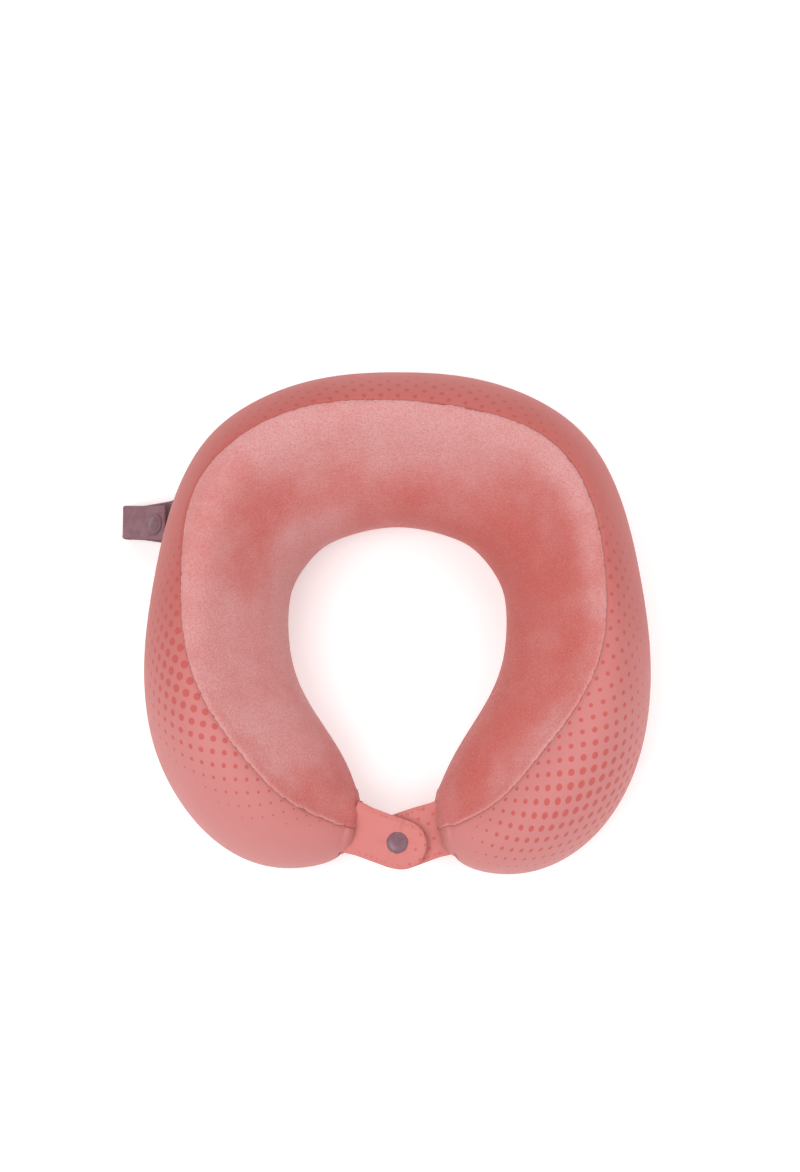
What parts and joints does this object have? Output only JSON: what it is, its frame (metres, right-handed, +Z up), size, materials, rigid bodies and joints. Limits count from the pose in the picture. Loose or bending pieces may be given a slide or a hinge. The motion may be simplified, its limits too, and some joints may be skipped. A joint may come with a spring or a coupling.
{
  "type": "u shaped neck pillow",
  "caption": "U shaped memory foam neck pillow with a velour top, a dotted side panel, front tabs closed by a snap, and a folded strap loop at one side.",
  "frame": {"origin": "centre of the neck opening, on the flat face that the pillow rests on", "axes": "+Z up, +Y towards the nape, -Y towards the front tabs, +X to the half with the zip"},
  "size_m": [0.3018, 0.2854, 0.1102],
  "materials": {
    "velour": "matte",
    "side_knit": "matte",
    "base_knit": "matte",
    "tab_knit": "matte",
    "liner_cloth": "matte",
    "memory_foam": "matte",
    "strap_webbing": "matte",
    "thread": "satin",
    "snap_cap_enamel": "satin",
    "snap_metal": "satin",
    "zip_tape": "matte",
    "zip_coil": "satin",
    "zip_metal": "satin"
  },
  "bodies": {
    "left_half": {"foam_core_left": "memory_foam", "inner_liner_left": "liner_cloth", "top_panel_left": "velour", "side_panel_left": "side_knit", "base_panel_left": "base_knit", "upper_tab_binding": "tab_knit"},
    "right_half": {"foam_core_right": "memory_foam", "inner_liner_right": "liner_cloth", "top_panel_right": "velour", "side_panel_right": "side_knit", "base_panel_right": "base_knit", "lower_tab_binding": "tab_knit", "zip_tape_inner": "zip_tape", "zip_tape_outer": "zip_tape", "zip_coil_inner": "zip_coil", "zip_coil_outer": "zip_coil", "zip_top_stop": "zip_metal", "zip_bottom_stop": "zip_metal"},
    "upper_tab": {"upper_tab_face": "tab_knit", "upper_tab_lining": "tab_knit", "upper_tab_stitching": "thread", "snap_cap": "snap_cap_enamel", "snap_socket": "snap_metal"},
    "lower_tab": {"lower_tab_face": "tab_knit", "lower_tab_lining": "tab_knit", "lower_tab_stitching": "thread", "snap_stud": "snap_metal", "snap_rivet": "snap_metal"},
    "strap": {"strap_band": "strap_webbing", "strap_stud": "snap_metal", "strap_rivet": "snap_metal"},
    "strap_flap": {"strap_flap": "strap_webbing", "strap_cap": "snap_cap_enamel", "strap_socket": "snap_metal"},
    "zip_slider": {"zip_slider": "zip_metal"},
    "zip_pull": {"zip_pull": "zip_metal"}
  },
  "joints": [
    {"name": "arm_spread", "type": "hinge", "parent": "left_half", "child": "right_half", "pos_m": [0, 0.1348, 0.05], "axis": [0, 0, 1], "range_deg": [0, 25], "stiffness_Nm_per_rad": 1.5},
    {"name": "upper_tab_lift", "type": "hinge", "parent": "left_half", "child": "upper_tab", "pos_m": [-0.023, -0.1253, 0.0478], "axis": [-0.3486, -0.9373, 0], "range_deg": [0, 100]},
    {"name": "lower_tab_drop", "type": "hinge", "parent": "right_half", "child": "lower_tab", "pos_m": [0.023, -0.1253, 0.0418], "axis": [0.3486, -0.9373, 0], "range_deg": [0, 60]},
    {"name": "strap_swing", "type": "hinge", "parent": "left_half", "child": "strap", "pos_m": [-0.13133, 0.051, 0.02448], "axis": [0, 1, 0], "range_deg": [-20, 15]},
    {"name": "strap_flap_open", "type": "hinge", "parent": "strap", "child": "strap_flap", "pos_m": [-0.15716, 0.051, 0.00983], "axis": [0, -1, 0], "range_deg": [0, 110]},
    {"name": "zip_slide", "type": "hinge", "parent": "right_half", "child": "zip_slider", "pos_m": [0, 0, 0.003], "axis": [0, 0, 1], "range_deg": [0, 81]},
    {"name": "zip_pull_swing", "type": "hinge", "parent": "zip_slider", "child": "zip_pull", "pos_m": [0.08669, -0.04985, 0.0006], "axis": [-0.8669, 0.4985, 0], "range_deg": [0, 90]}
  ]
}
